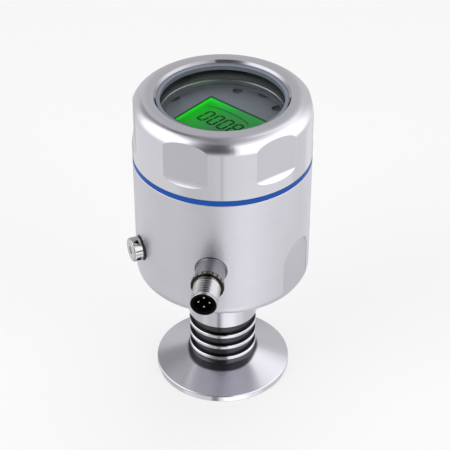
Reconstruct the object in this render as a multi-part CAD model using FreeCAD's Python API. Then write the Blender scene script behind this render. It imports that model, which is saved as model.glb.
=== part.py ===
"""Sanitary pressure transducer: clamp ferrule, finned cooling neck, round steel housing with a
screwed window cover, a turning display inside, a four-pin round connector and a vent plug.

Millimetres. Z points up along the turning axis, with zero at the ferrule's sealing face.
The connector points along -Y. An angle called a bearing is measured about Z, from -Y towards +X.
"""

import FreeCAD, Part
import math
import os

os.makedirs("parts", exist_ok=True)

Vector = FreeCAD.Vector
UP = Vector(0, 0, 1)
AXIS_POINT = Vector(0, 0, 0)

# Clearances
running_gap = 0.05
loose_gap = 0.1
body_gap = 0.3

# Clamp ferrule
ferrule_diameter = 64.0
rim_height = 3.3
rim_rounding = 0.5
cone_angle = 20.0
cone_blend = 2.0
gasket_groove_inset = 3.75
gasket_groove_radius = 2.4
gasket_groove_depth = 1.5
diaphragm_diameter = 41.0
diaphragm_sheet = 0.15
diaphragm_ledge = 1.4
diaphragm_waves = 5
diaphragm_wave_share = 0.9
wave_height = 0.12
oil_gap = 0.4
oil_passage_diameter = 2.0

# Cooling neck
core_diameter = 29.0
fin_reach = 1.5
fin_count = 3
fin_thickness = 1.9
fin_pitch = 6.6
first_fin_gap = 1.1
fin_edge = 0.3
collar_step = 1.9
collar_gap = 5.2
neck_length = 58.0
spigot_wall = 2.5
spigot_length = 14.0

# Pressure sensor in the neck
sensor_pocket_diameter = 19.0
sensor_depth = 14.0
header_thickness = 5.0
header_groove_depth = 1.2
header_groove_width = 1.8
die_pocket_diameter = 9.0
die_pocket_depth = 2.0
die_width = 3.4
die_thickness = 1.0
sensor_ring_height = 3.0
sensor_ring_bore = 12.0
sensor_ring_slot = 2.0
header_pin_count = 6
header_pin_diameter = 0.6
header_pin_circle = 8.0
header_pin_length = 8.0
sensor_board_diameter = 16.0
sensor_board_height = 4.5

# Joint between neck and housing
neck_seal_section = 1.5
neck_nut_wall = 4.0
neck_nut_height = 5.0

# Housing
housing_diameter = 80.0
housing_height = 61.3
housing_wall = 4.0
housing_floor = 5.0
bottom_rounding = 5.5
floor_rounding = 2.0
edge_chamfer = 0.3
mouth_inset = 3.0
mouth_wall = 3.0
mouth_height = 9.2
mouth_step_depth = 7.0
housing_flat_width = 20.6
housing_flat_depth = 1.5
housing_flat_top = 30.0
housing_flat_bearings = (65.0, -115.0)

# Gasket between housing and cover
cover_gasket_height = 2.4

# Screwed cover
cover_height = 28.9
shoulder_rounding = 7.0
window_lip = 1.7
window_edge_chamfer = 1.0
window_lip_reach = 4.1
cover_skirt_space = 2.0
cover_bore_step = 3.05
cover_bore_chamfer = 1.0
glass_pocket_step = 0.9
cover_flat_count = 6
cover_flat_depth = 1.4
cover_flat_bearing = -16.5
cover_flat_start = 8.3
cover_flat_cove = 4.1

# Window
window_seal_reach = 1.7
window_seal_height = 2.0
glass_thickness = 3.5
glass_gasket_height = 1.2
retainer_height = 2.8
retainer_reach = 1.5
retainer_edge_chamfer = 0.9
retainer_slot_count = 4
retainer_slot_width = 3.0
retainer_slot_depth = 1.4

# Display module
display_turn_angle = -33.5
display_rim_width = 2.4
display_face_depth = 2.1
display_face_thickness = 1.5
display_skirt_wall = 1.5
display_skirt_depth = 14.7
screen_length = 35.0
screen_width = 24.7
screen_border = 0.3
screen_drop = 0.4
screen_margin = 1.5
screen_glass = 1.6
backlight_thickness = 3.0
board_thickness = 1.6
notch_radius = 2.2
notch_inset = 2.5
notch_depth = 1.0
notch_spread = 26.0
crescent_radius = 3.6
crescent_outset = 1.4
crescent_depth = 0.7
display_screw_spread = 35.0
display_boss_inset = 3.3
display_boss_radius = 1.9
display_screw_radius = 0.9
display_screw_head = 1.7
display_screw_length = 4.0
display_screw_head_height = 1.2
display_chip_size = (9.0, 9.0, 1.2)
display_chip_places = ((-10.0, 4.0), (6.0, -6.0))

# Cup that carries the display module
cup_side_gap = 0.65
cup_wall = 2.3
cup_ledge = 1.9
cup_grip = 5.2
cup_plate = 2.0
cup_tube_below = 4.3
cup_cable_hole = 24.0

# Boards and their pillars
pillar_count = 3
pillar_inset = 4.0
pillar_bearing = 60.0
pillar_across = 5.0
pillar_stud_radius = 1.25
pillar_stud_length = 3.4
pillar_bore_depth = 4.0
pillar_floor_stud = 3.0
main_board_height = 17.0
power_board_height = 18.4
board_inset = 6.0
board_hole_radius = 1.6
cup_screw_head_radius = 2.4
cup_screw_head_height = 1.5
signal_chip_sizes = ((10.0, 10.0, 1.6), (7.0, 5.0, 1.4), (6.0, 6.0, 1.2), (5.0, 3.0, 1.2))
signal_chip_places = ((-9.0, 6.0), (8.0, 12.0), (-10.0, -12.0), (4.0, -14.0))
capacitor_radius = 4.0
capacitor_height = 6.5
capacitor_places = ((-11.0, 3.0), (-11.0, -7.0))
link_size = (15.3, 5.0)
link_place = (14.0, 0.0)
terminal_size = (12.6, 7.0, 7.0)
terminal_place = (0.0, -20.0)
terminal_hole = (2.2, 3.6)
terminal_count = 4
terminal_pitch = 2.9

# Round connector, built outwards along its own axis from the turning axis
connector_height = 26.6
boss_diameter = 13.2
boss_reach = 48.8
boss_weld = 1.0
connector_ring_diameter = 14.8
connector_ring_width = 1.8
connector_ring_flutes = 20
connector_ring_flute_radius = 0.45
connector_seal_width = 1.0
connector_seal_diameter = 13.4
connector_thread_diameter = 12.0
connector_thread_length = 12.0
connector_relief_width = 0.8
connector_relief_depth = 0.4
connector_stem_diameter = 10.0
connector_stem_length = 14.8
connector_bore_diameter = 9.0
connector_mouth_diameter = 10.4
connector_mouth_depth = 10.5
connector_end_chamfer = 0.4
insert_cavity_diameter = 8.5
insert_cavity_depth = 8.6
insert_inset = 0.2
insert_tail = 6.0
insert_key_width = 1.2
insert_key_height = 0.7
insert_key_angle = 225.0
pin_count = 4
pin_circle = 5.0
pin_diameter = 1.0
pin_inset = 1.4
pin_tip_rounding = 0.3
pin_tail = 3.0

# Vent plug, built outwards along its own axis from the turning axis
vent_bearing = -60.0
vent_height = 21.2
vent_spot_margin = 0.6
vent_spot_cut = 1.1
vent_seal_diameter = 10.8
vent_seal_height = 2.4
vent_seal_rounding = 0.6
vent_stem_diameter = 8.0
vent_bore_diameter = 3.2
vent_flange_diameter = 11.1
vent_flange_height = 0.9
vent_neck_diameter = 7.6
vent_neck_height = 1.8
vent_membrane_diameter = 6.4
vent_membrane_thickness = 0.3
vent_cap_wall = 1.2
vent_cap_top = 1.0
vent_cap_height = 3.2
vent_slot_count = 4
vent_slot_turn = 66.0
vent_slot_width = 2.6
vent_slot_height = 2.0
vent_cap_bore = 3.4
vent_nut_across = 11.0
vent_nut_height = 2.5
vent_stem_tail = 0.6

# Radii, worked out from the sizes above
ferrule_radius = ferrule_diameter / 2
core_radius = core_diameter / 2
fin_radius = core_radius + fin_reach
collar_radius = core_radius + collar_step
sensor_pocket_radius = sensor_pocket_diameter / 2
spigot_radius = sensor_pocket_radius + spigot_wall
housing_radius = housing_diameter / 2
inner_radius = housing_radius - housing_wall
mouth_radius = housing_radius - mouth_inset
mouth_bore_radius = mouth_radius - mouth_wall
skirt_radius = mouth_radius + running_gap
cover_bore_radius = skirt_radius - cover_bore_step
glass_pocket_radius = cover_bore_radius - glass_pocket_step
glass_radius = glass_pocket_radius - loose_gap
window_radius = glass_pocket_radius - window_lip_reach
window_seal_radius = window_radius - window_seal_reach
retainer_bore_radius = window_radius - retainer_reach
cup_radius = mouth_bore_radius - cup_side_gap
cup_bore_radius = cup_radius - cup_wall
display_radius = cup_bore_radius - running_gap
display_face_radius = display_radius - display_rim_width
display_skirt_radius = display_radius - display_skirt_wall
display_screw_place = display_skirt_radius - display_boss_inset
board_radius = inner_radius - board_inset
pillar_place = board_radius - pillar_inset

# Levels along Z, worked out from the sizes above
cone_top = rim_height + (ferrule_radius - core_radius) * math.tan(math.radians(cone_angle))
blend_top = cone_top + cone_blend / math.tan(math.radians(90 + cone_angle) / 2)
first_fin_bottom = blend_top + first_fin_gap
last_fin_top = first_fin_bottom + (fin_count - 1) * fin_pitch + fin_thickness
collar_bottom = last_fin_top + collar_gap
sensor_seat = neck_length - sensor_depth
header_top = sensor_seat + header_thickness
spigot_top = neck_length + spigot_length
housing_bottom = neck_length
housing_inner_floor = housing_bottom + housing_floor
housing_top = housing_bottom + housing_height
mouth_top = housing_top + mouth_height
cover_bottom = housing_top + cover_gasket_height
cover_top = cover_bottom + cover_height
skirt_top = mouth_top + cover_skirt_space
lip_bottom = cover_top - window_lip
glass_top = lip_bottom - window_seal_height
glass_bottom = glass_top - glass_thickness
retainer_top = glass_bottom - glass_gasket_height
retainer_bottom = retainer_top - retainer_height
display_top = retainer_bottom - body_gap
display_face = display_top - display_face_depth
display_face_back = display_face - display_face_thickness
display_bottom = display_face - display_skirt_depth
screen_back = display_face_back - screen_glass
display_board_top = screen_back - backlight_thickness
display_board_bottom = display_board_top - board_thickness
cup_plate_top = display_bottom - cup_tube_below
cup_plate_bottom = cup_plate_top - cup_plate
main_board_bottom = housing_inner_floor + main_board_height
main_board_top = main_board_bottom + board_thickness
power_board_bottom = main_board_top + power_board_height
power_board_top = power_board_bottom + board_thickness
connector_level = housing_bottom + connector_height
vent_level = housing_bottom + vent_height

# Distances from the turning axis, along the connector and along the vent
connector_ring_end = boss_reach + connector_seal_width + connector_ring_width
thread_start = connector_ring_end + connector_relief_width
connector_end = connector_ring_end + connector_thread_length
insert_shoulder = connector_end - connector_mouth_depth
vent_spot_radius = vent_seal_diameter / 2 + vent_spot_margin
vent_seat = math.sqrt(housing_radius**2 - vent_spot_radius**2) - vent_spot_cut
vent_flange_bottom = vent_seat + vent_seal_height
vent_flange_top = vent_flange_bottom + vent_flange_height
vent_nut_face = math.sqrt(inner_radius**2 - vent_nut_across**2 / 3)


def corner_arc(before, corner, after, radius):
    """Start, middle and end of the arc that rounds one corner of an outline."""
    back = (before - corner).normalize()
    onward = (after - corner).normalize()
    half_angle = back.getAngle(onward) / 2
    middle_way = (back + onward).normalize()
    reach = radius / math.tan(half_angle)
    centre = corner + middle_way * (radius / math.sin(half_angle))
    return corner + back * reach, centre - middle_way * radius, corner + onward * reach


def outline(corners):
    """Closed wire in the XZ plane. A corner is (radius, height) or (radius, height, rounding)."""
    points = [Vector(corner[0], 0, corner[1]) for corner in corners]
    stretches = []
    for index, corner in enumerate(corners):
        point = points[index]
        if len(corner) == 2:
            stretches.append((point, None, point))
        else:
            after = points[(index + 1) % len(points)]
            stretches.append(corner_arc(points[index - 1], point, after, corner[2]))
    edges = []
    for index, (start, middle, end) in enumerate(stretches):
        if middle is not None:
            edges.append(Part.Arc(start, middle, end).toShape())
        following = stretches[(index + 1) % len(stretches)][0]
        if (following - end).Length > 1e-6:
            edges.append(Part.makeLine(end, following))
    return Part.Wire(edges)


def turned(corners):
    """Solid turned about Z from an outline."""
    return Part.Face(outline(corners)).revolve(AXIS_POINT, UP, 360)


def disc(radius, low, high):
    return Part.makeCylinder(radius, high - low, Vector(0, 0, low))


def ring(inner, outer, low, high):
    return disc(outer, low, high).cut(disc(inner, low, high))


def block(length, width, low, high, place=(0.0, 0.0)):
    """Upright block centred on a place in plan."""
    corner = Vector(place[0] - length / 2, place[1] - width / 2, low)
    return Part.makeBox(length, width, high - low, corner)


def hexagon(across, low, high):
    """Hexagonal prism, given the distance across its flats."""
    corner_radius = across / math.sqrt(3)
    corners = []
    for step in range(6):
        turn = math.radians(60 * step)
        corners.append(Vector(corner_radius * math.cos(turn), corner_radius * math.sin(turn), low))
    return Part.Face(Part.makePolygon(corners + corners[:1])).extrude(UP * (high - low))


def spun(shape, angle):
    """Copy of a shape turned about Z."""
    copy = shape.copy()
    copy.rotate(AXIS_POINT, UP, angle)
    return copy


def moved(shape, x, y, z=0.0):
    """Copy of a shape shifted."""
    copy = shape.copy()
    copy.translate(Vector(x, y, z))
    return copy


def around(shape, count, start=0.0):
    """Copies of a shape spaced evenly about Z."""
    return [spun(shape, start + 360.0 * step / count) for step in range(count)]


def outward(shape, bearing, level):
    """Copy of a shape whose own Z points away from the turning axis at a bearing and level."""
    copy = shape.copy()
    turn = FreeCAD.Rotation(UP, bearing).multiply(FreeCAD.Rotation(Vector(1, 0, 0), 90))
    copy.Placement = FreeCAD.Placement(Vector(0, 0, level), turn).multiply(copy.Placement)
    return copy


def o_ring(radius, section, level):
    """Round ring, given the radius of its centre line and its thickness."""
    return Part.makeTorus(radius, section / 2, Vector(0, 0, level))


def process_body():
    """Ferrule, cooling fins, collar and spigot, turned from one bar and bored for the sensor."""
    corners = [
        (0, 0),
        (ferrule_radius, 0, rim_rounding),
        (ferrule_radius, rim_height, rim_rounding),
        (core_radius, cone_top, cone_blend),
    ]
    for step in range(fin_count):
        low = first_fin_bottom + step * fin_pitch
        high = low + fin_thickness
        corners += [
            (core_radius, low),
            (fin_radius - fin_edge, low),
            (fin_radius, low + fin_edge),
            (fin_radius, high - fin_edge),
            (fin_radius - fin_edge, high),
            (core_radius, high),
        ]
    corners += [
        (core_radius, collar_bottom),
        (collar_radius - fin_edge, collar_bottom),
        (collar_radius, collar_bottom + fin_edge),
        (collar_radius, neck_length),
        (spigot_radius, neck_length),
        (spigot_radius, spigot_top),
        (0, spigot_top),
    ]
    groove_level = Vector(0, 0, gasket_groove_depth - gasket_groove_radius)
    seal_reach = neck_seal_section / 2 + loose_gap
    seal_low = neck_length - neck_seal_section
    seal_groove = ring(neck_seal_place() - seal_reach, neck_seal_place() + seal_reach, seal_low, neck_length)
    cuts = [
        Part.makeTorus(ferrule_radius - gasket_groove_inset, gasket_groove_radius, groove_level),
        disc(diaphragm_diameter / 2 + loose_gap, 0, diaphragm_sheet),
        disc(diaphragm_diameter / 2 - diaphragm_ledge, 0, diaphragm_sheet + oil_gap),
        disc(oil_passage_diameter / 2, 0, sensor_seat),
        disc(die_pocket_diameter / 2, sensor_seat - die_pocket_depth, sensor_seat),
        disc(sensor_pocket_radius, sensor_seat, spigot_top),
        seal_groove,
    ]
    return turned(corners).cut(Part.Compound(cuts))


def neck_seal_place():
    """Radius of the seal between the neck's collar and the housing."""
    return (spigot_radius + collar_radius) / 2


def diaphragm():
    """Thin sheet with rings pressed in it, welded flush into the ferrule's face."""
    wave_span = (diaphragm_diameter / 2 - diaphragm_ledge) * diaphragm_wave_share
    pitch = wave_span / diaphragm_waves
    outer = diaphragm_diameter / 2
    lower = [(0, 0), (pitch / 2, 0)]
    for step in range(diaphragm_waves):
        lower += [((step + 0.75) * pitch, wave_height), ((step + 1.0) * pitch, 0)]
    lower.append((outer, 0))
    upper = [(radius, height + diaphragm_sheet) for radius, height in lower[::-1]]
    return turned(lower + upper)


def sensor_header():
    """Steel header that carries the sensor die, with a groove for its seal."""
    radius = sensor_pocket_radius - running_gap
    middle = sensor_seat + header_thickness / 2
    groove = ring(
        radius - header_groove_depth,
        radius + 1,
        middle - header_groove_width / 2,
        middle + header_groove_width / 2,
    )
    return disc(radius, sensor_seat, header_top).cut(groove)


def header_seal():
    section = header_groove_depth + running_gap
    return o_ring(sensor_pocket_radius - section / 2, section, sensor_seat + header_thickness / 2)


def sensor_die():
    return block(die_width, die_width, sensor_seat - die_thickness, sensor_seat)


def header_pins():
    pin = disc(header_pin_diameter / 2, header_top, header_top + header_pin_length)
    pin = moved(pin, header_pin_circle / 2, 0)
    return Part.Compound(around(pin, header_pin_count))


def sensor_ring():
    """Threaded ring that clamps the header, with two slots for the key."""
    high = header_top + sensor_ring_height
    body = ring(sensor_ring_bore / 2, sensor_pocket_radius - running_gap, header_top, high)
    slot = block(sensor_pocket_diameter, sensor_ring_slot, high - sensor_ring_height / 2, high)
    return body.cut(slot)


def sensor_board():
    """Small board soldered on the header's pins."""
    low = header_top + sensor_board_height
    board = disc(sensor_board_diameter / 2, low, low + board_thickness)
    hole = disc(header_pin_diameter / 2 + running_gap, low, low + board_thickness)
    holes = around(moved(hole, header_pin_circle / 2, 0), header_pin_count)
    return board.cut(Part.Compound(holes))


def neck_seal():
    return o_ring(neck_seal_place(), neck_seal_section, neck_length - neck_seal_section / 2)


def neck_nut():
    """Nut on the neck's spigot that clamps the housing floor against the collar."""
    low = housing_inner_floor
    nut = hexagon(2 * (spigot_radius + neck_nut_wall), low, low + neck_nut_height)
    return nut.cut(disc(spigot_radius + running_gap, low, low + neck_nut_height))


def arched_flat_cutter():
    """Cutter for a milled flat with a round upper end, which runs out at the housing's bottom."""
    half = housing_flat_width / 2
    plane = housing_radius - housing_flat_depth
    reach = housing_flat_depth + 1
    straight_top = housing_flat_top - half
    end = Part.makeCylinder(half, reach, Vector(0, straight_top, plane))
    run_out = bottom_rounding
    shank = Part.makeBox(housing_flat_width, straight_top + run_out, reach, Vector(-half, -run_out, plane))
    return end.fuse(shank)


def pillar_points():
    """Places of the board pillars in plan."""
    points = []
    for step in range(pillar_count):
        bearing = math.radians(pillar_bearing + 360.0 * step / pillar_count)
        points.append((math.sin(bearing) * pillar_place, -math.cos(bearing) * pillar_place))
    return points


def housing():
    """Round cup with a threaded mouth, the connector's boss and the vent's spot face."""
    step_level = housing_top - mouth_step_depth
    taper = inner_radius - mouth_bore_radius
    cup = turned([
        (0, housing_bottom),
        (housing_radius, housing_bottom, bottom_rounding),
        (housing_radius, housing_top - edge_chamfer),
        (housing_radius - edge_chamfer, housing_top),
        (mouth_radius, housing_top),
        (mouth_radius, mouth_top - edge_chamfer),
        (mouth_radius - edge_chamfer, mouth_top),
        (mouth_bore_radius, mouth_top),
        (mouth_bore_radius, step_level),
        (inner_radius, step_level - taper),
        (inner_radius, housing_inner_floor, floor_rounding),
        (0, housing_inner_floor),
    ])
    boss = disc(boss_diameter / 2, inner_radius + housing_wall / 2, boss_reach)
    cup = cup.fuse(outward(boss, 0, connector_level))
    cup = weld_bead(cup)
    flat = arched_flat_cutter()
    spot = disc(vent_spot_radius, vent_seat, housing_radius + 1)
    cuts = [outward(flat, bearing, housing_bottom) for bearing in housing_flat_bearings]
    cuts.append(outward(spot, vent_bearing, vent_level))
    vent_hole = disc(vent_stem_diameter / 2 + loose_gap, 0, housing_radius)
    cuts.append(outward(vent_hole, vent_bearing, vent_level))
    connector_hole = disc(connector_stem_diameter / 2 + running_gap, 0, boss_reach)
    cuts.append(outward(connector_hole, 0, connector_level))
    cuts.append(disc(spigot_radius + running_gap, housing_bottom, housing_inner_floor))
    stud_bottom = housing_inner_floor - pillar_floor_stud
    stud_hole = disc(pillar_stud_radius + running_gap, stud_bottom, housing_inner_floor)
    cuts += [moved(stud_hole, x, y) for x, y in pillar_points()]
    return cup.cut(Part.Compound(cuts)).removeSplitter()


def weld_bead(cup):
    """The housing with a small fillet where the connector's boss leaves the wall."""
    seam = []
    for edge in cup.Edges:
        middle = edge.valueAt((edge.FirstParameter + edge.LastParameter) / 2)
        from_turning_axis = math.hypot(middle.x, middle.y)
        from_boss_axis = math.hypot(middle.x, middle.z - connector_level)
        on_wall = abs(from_turning_axis - housing_radius) < 0.01
        if on_wall and abs(from_boss_axis - boss_diameter / 2) < 0.01 and middle.y < 0:
            seam.append(edge)
    return cup.makeFillet(boss_weld, seam)


def cover_gasket():
    """Blue ring between the housing's shoulder and the cover."""
    return ring(mouth_radius + body_gap, housing_radius, housing_top, cover_bottom)


def cover_flat_cutter():
    """Wrench flat that starts in a round scoop and runs out at the cover's top."""
    start = cover_bottom + cover_flat_start
    plane = housing_radius - cover_flat_depth
    half = math.sqrt(housing_radius**2 - plane**2) + 2
    centre = Vector(plane + cover_flat_cove, -half, start)
    scoop = Part.makeCylinder(cover_flat_cove, 2 * half, centre, Vector(0, 1, 0))
    corner = Vector(plane, -half, start)
    above = Part.makeBox(2 * cover_flat_cove, 2 * half, cover_top + 1 - start, corner)
    return above.fuse(scoop)


def cover():
    """Turned cover with a threaded skirt, six wrench flats and a lipped window opening."""
    body = turned([
        (skirt_radius, cover_bottom),
        (housing_radius - edge_chamfer, cover_bottom),
        (housing_radius, cover_bottom + edge_chamfer),
        (housing_radius, cover_top, shoulder_rounding),
        (window_radius + window_edge_chamfer, cover_top),
        (window_radius, cover_top - window_edge_chamfer),
        (window_radius, lip_bottom),
        (glass_pocket_radius, lip_bottom),
        (glass_pocket_radius, retainer_top),
        (cover_bore_radius, retainer_top),
        (cover_bore_radius, skirt_top + cover_bore_chamfer),
        (cover_bore_radius + cover_bore_chamfer, skirt_top),
        (skirt_radius, skirt_top),
    ])
    flats = around(cover_flat_cutter(), cover_flat_count, cover_flat_bearing - 90)
    return body.cut(Part.Compound(flats))


def window_seal():
    """Pale seal between the cover's lip and the glass."""
    return ring(window_seal_radius, glass_radius, glass_top, lip_bottom)


def window_glass():
    return disc(glass_radius, glass_bottom, glass_top)


def glass_gasket():
    """Black gasket under the glass."""
    return ring(window_seal_radius, glass_radius, retainer_top, glass_bottom)


def glass_retainer():
    """Threaded ring that holds the glass from below, with slots for its key."""
    outer = cover_bore_radius - running_gap
    body = turned([
        (retainer_bore_radius, retainer_bottom + edge_chamfer),
        (retainer_bore_radius + edge_chamfer, retainer_bottom),
        (outer, retainer_bottom),
        (outer, retainer_top),
        (retainer_bore_radius + retainer_edge_chamfer, retainer_top),
        (retainer_bore_radius, retainer_top - retainer_edge_chamfer),
    ])
    slot_top = retainer_bottom + retainer_height / 2
    slot = block(retainer_slot_depth, retainer_slot_width, retainer_bottom, slot_top)
    slot = moved(slot, retainer_bore_radius + retainer_slot_depth / 2, 0)
    return body.cut(Part.Compound(around(slot, retainer_slot_count, display_turn_angle)))


def beside_screen(spread):
    """Four angles, a spread to each side of the screen's upper and lower edges."""
    return [edge + side for edge in (90.0, 270.0) for side in (-spread, spread)]


def display_screw_angles():
    """Angles of the display's screws about Z, counted from the screen's right-hand side."""
    return beside_screen(display_screw_spread)


def display_bezel():
    """Moulded cap with a sunk face, the screen's opening, edge notches, screw bosses and a skirt."""
    body = turned([
        (0, display_face_back),
        (display_skirt_radius, display_face_back),
        (display_skirt_radius, display_bottom),
        (display_radius, display_bottom),
        (display_radius, display_top - edge_chamfer),
        (display_radius - edge_chamfer, display_top),
        (display_face_radius + edge_chamfer, display_top),
        (display_face_radius, display_top - edge_chamfer),
        (display_face_radius, display_face),
        (0, display_face),
    ])
    boss = disc(display_boss_radius, display_board_top, display_face_back)
    bosses = [spun(moved(boss, display_screw_place, 0), angle) for angle in display_screw_angles()]
    body = body.fuse(bosses)
    opening = block(
        screen_length + 2 * screen_border, screen_width + 2 * screen_border, display_face_back, display_face
    )
    cuts = [opening]
    notch = disc(notch_radius, display_face - notch_depth, display_face)
    notch = moved(notch, display_face_radius - notch_inset, 0)
    mouth_place = (display_face_radius - notch_inset / 2, 0)
    mouth = block(notch_inset, 2 * notch_radius, display_face - notch_depth, display_face, mouth_place)
    notch = notch.fuse(mouth.common(disc(display_face_radius, display_face - notch_depth, display_face)))
    cuts += [spun(notch, angle) for angle in beside_screen(notch_spread)]
    crescent = disc(crescent_radius, display_face - crescent_depth, display_face)
    cuts += around(moved(crescent, display_face_radius + crescent_outset, 0), 4)
    tap_top = display_board_top + display_screw_length
    tap = disc(display_screw_radius + running_gap, display_board_top, tap_top)
    cuts += [spun(moved(tap, display_screw_place, 0), angle) for angle in display_screw_angles()]
    return spun(body.cut(Part.Compound(cuts)), display_turn_angle)


def lcd_panel():
    """Glass screen: a plate behind the bezel with its face raised into the opening."""
    plate = block(
        screen_length + 2 * screen_margin, screen_width + 2 * screen_margin, screen_back, display_face_back
    )
    face = block(screen_length, screen_width, display_face_back, display_face - screen_drop)
    return spun(plate.fuse(face), display_turn_angle)


def lcd_backlight():
    light = block(
        screen_length + 2 * screen_margin, screen_width + 2 * screen_margin, display_board_top, screen_back
    )
    return spun(light, display_turn_angle)


def display_board():
    """Round board behind the screen, screwed to the bezel's bosses."""
    board = disc(display_skirt_radius - loose_gap, display_board_bottom, display_board_top)
    hole = disc(display_screw_radius + body_gap, display_board_bottom, display_board_top)
    holes = [spun(moved(hole, display_screw_place, 0), angle) for angle in display_screw_angles()]
    return spun(board.cut(Part.Compound(holes)), display_turn_angle)


def display_screws():
    head_bottom = display_board_bottom - display_screw_head_height
    head = disc(display_screw_head, head_bottom, display_board_bottom)
    tip = display_board_top + display_screw_length - body_gap
    screw = head.fuse(disc(display_screw_radius, display_board_bottom, tip))
    screws = [spun(moved(screw, display_screw_place, 0), angle) for angle in display_screw_angles()]
    return spun(Part.Compound(screws), display_turn_angle)


def display_chips():
    length, width, height = display_chip_size
    low = display_board_bottom - height
    chips = [block(length, width, low, display_board_bottom, place) for place in display_chip_places]
    return spun(Part.Compound(chips), display_turn_angle)


def display_cup():
    """Fixed cup in which the display module turns. Its plate stands on the pillars."""
    body = turned([
        (cup_cable_hole / 2, cup_plate_bottom),
        (cup_radius, cup_plate_bottom),
        (cup_radius, display_bottom + cup_grip),
        (cup_bore_radius, display_bottom + cup_grip),
        (cup_bore_radius, display_bottom),
        (cup_bore_radius - cup_ledge, display_bottom),
        (cup_bore_radius - cup_ledge, cup_plate_top),
        (cup_cable_hole / 2, cup_plate_top),
    ])
    hole = disc(board_hole_radius, cup_plate_bottom, cup_plate_top)
    return body.cut(Part.Compound([moved(hole, x, y) for x, y in pillar_points()]))


def cup_screws():
    """Screws that hold the display cup on the pillars."""
    head = disc(cup_screw_head_radius, cup_plate_top, cup_plate_top + cup_screw_head_height)
    shank = disc(pillar_stud_radius, cup_plate_bottom - pillar_stud_length, cup_plate_top)
    socket = hexagon(cup_screw_head_radius, cup_plate_top + cup_screw_head_height / 2, cup_plate_top + 2)
    screw = head.fuse(shank).cut(socket)
    return Part.Compound([moved(screw, x, y) for x, y in pillar_points()])


def board_pillars():
    """Three stacks of hexagonal pillars, each with a stud or a tapped hole at its ends."""
    tiers = [
        (housing_inner_floor, main_board_bottom),
        (main_board_top, power_board_bottom),
        (power_board_top, cup_plate_bottom),
    ]
    tap_radius = pillar_stud_radius + running_gap
    pieces = []
    for index, (low, high) in enumerate(tiers):
        pillar = hexagon(pillar_across, low, high)
        if index == 0:
            pillar = pillar.fuse(disc(pillar_stud_radius, low - pillar_floor_stud + running_gap, low))
        else:
            pillar = pillar.cut(disc(tap_radius, low, low + pillar_bore_depth))
        if index < len(tiers) - 1:
            stud_top = high + board_thickness + pillar_stud_length
            pillar = pillar.fuse(disc(pillar_stud_radius, high, stud_top))
        else:
            pillar = pillar.cut(disc(tap_radius, high - pillar_bore_depth, high))
        pieces += [moved(pillar, x, y) for x, y in pillar_points()]
    return Part.Compound(pieces)


def round_board(low):
    """Round circuit board with a hole for each pillar."""
    board = disc(board_radius, low, low + board_thickness)
    hole = disc(board_hole_radius, low, low + board_thickness)
    return board.cut(Part.Compound([moved(hole, x, y) for x, y in pillar_points()]))


def signal_chips():
    chips = []
    for (length, width, height), place in zip(signal_chip_sizes, signal_chip_places):
        chips.append(block(length, width, main_board_top, main_board_top + height, place))
    return Part.Compound(chips)


def capacitors():
    can = disc(capacitor_radius, power_board_top, power_board_top + capacitor_height)
    return Part.Compound([moved(can, x, y) for x, y in capacitor_places])


def board_link():
    """Header strip that joins the two boards."""
    return block(link_size[0], link_size[1], main_board_top, power_board_bottom, link_place)


def terminal_strip():
    """Plug-in terminals for the connector's wires."""
    length, width, height = terminal_size
    strip = block(length, width, power_board_top, power_board_top + height, terminal_place)
    hole_width, hole_height = terminal_hole
    for step in range(terminal_count):
        x = terminal_place[0] + (step - (terminal_count - 1) / 2) * terminal_pitch
        y = terminal_place[1] - width / 2
        hole = block(hole_width, width, power_board_top + 2, power_board_top + 2 + hole_height, (x, y))
        strip = strip.cut(hole)
    return strip


def connector_shell():
    """Threaded metal shell, screwed into the boss by its stem, with a relief beside the lock ring."""
    body = turned([
        (connector_bore_diameter / 2, boss_reach - connector_stem_length),
        (connector_stem_diameter / 2, boss_reach - connector_stem_length),
        (connector_stem_diameter / 2, boss_reach),
        (connector_thread_diameter / 2, boss_reach),
        (connector_thread_diameter / 2, connector_ring_end),
        (connector_thread_diameter / 2 - connector_relief_depth, connector_ring_end),
        (connector_thread_diameter / 2 - connector_relief_depth, thread_start),
        (connector_thread_diameter / 2, thread_start),
        (connector_thread_diameter / 2, connector_end - connector_end_chamfer),
        (connector_thread_diameter / 2 - connector_end_chamfer, connector_end),
        (connector_mouth_diameter / 2, connector_end),
        (connector_mouth_diameter / 2, insert_shoulder),
        (connector_bore_diameter / 2, insert_shoulder),
    ])
    return outward(body, 0, connector_level)


def connector_seal():
    """Black seal ring between the boss and the knurled ring."""
    low = boss_reach
    inner = connector_thread_diameter / 2 + running_gap
    body = ring(inner, connector_seal_diameter / 2, low, low + connector_seal_width)
    return outward(body, 0, connector_level)


def connector_ring():
    """Fluted lock ring on the connector's thread."""
    low = boss_reach + connector_seal_width
    high = connector_ring_end
    outer = connector_ring_diameter / 2
    body = turned([
        (connector_thread_diameter / 2 + running_gap, low),
        (outer - edge_chamfer, low),
        (outer, low + edge_chamfer),
        (outer, high - edge_chamfer),
        (outer - edge_chamfer, high),
        (connector_thread_diameter / 2 + running_gap, high),
    ])
    flute_circle = outer + connector_ring_flute_radius / 3
    flute = moved(disc(connector_ring_flute_radius, low - 1, high + 1), flute_circle, 0)
    body = body.cut(Part.Compound(around(flute, connector_ring_flutes)))
    return outward(body, 0, connector_level)


def pin_places():
    return [
        (math.cos(math.pi / 2 * step) * pin_circle / 2, math.sin(math.pi / 2 * step) * pin_circle / 2)
        for step in range(pin_count)
    ]


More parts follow.
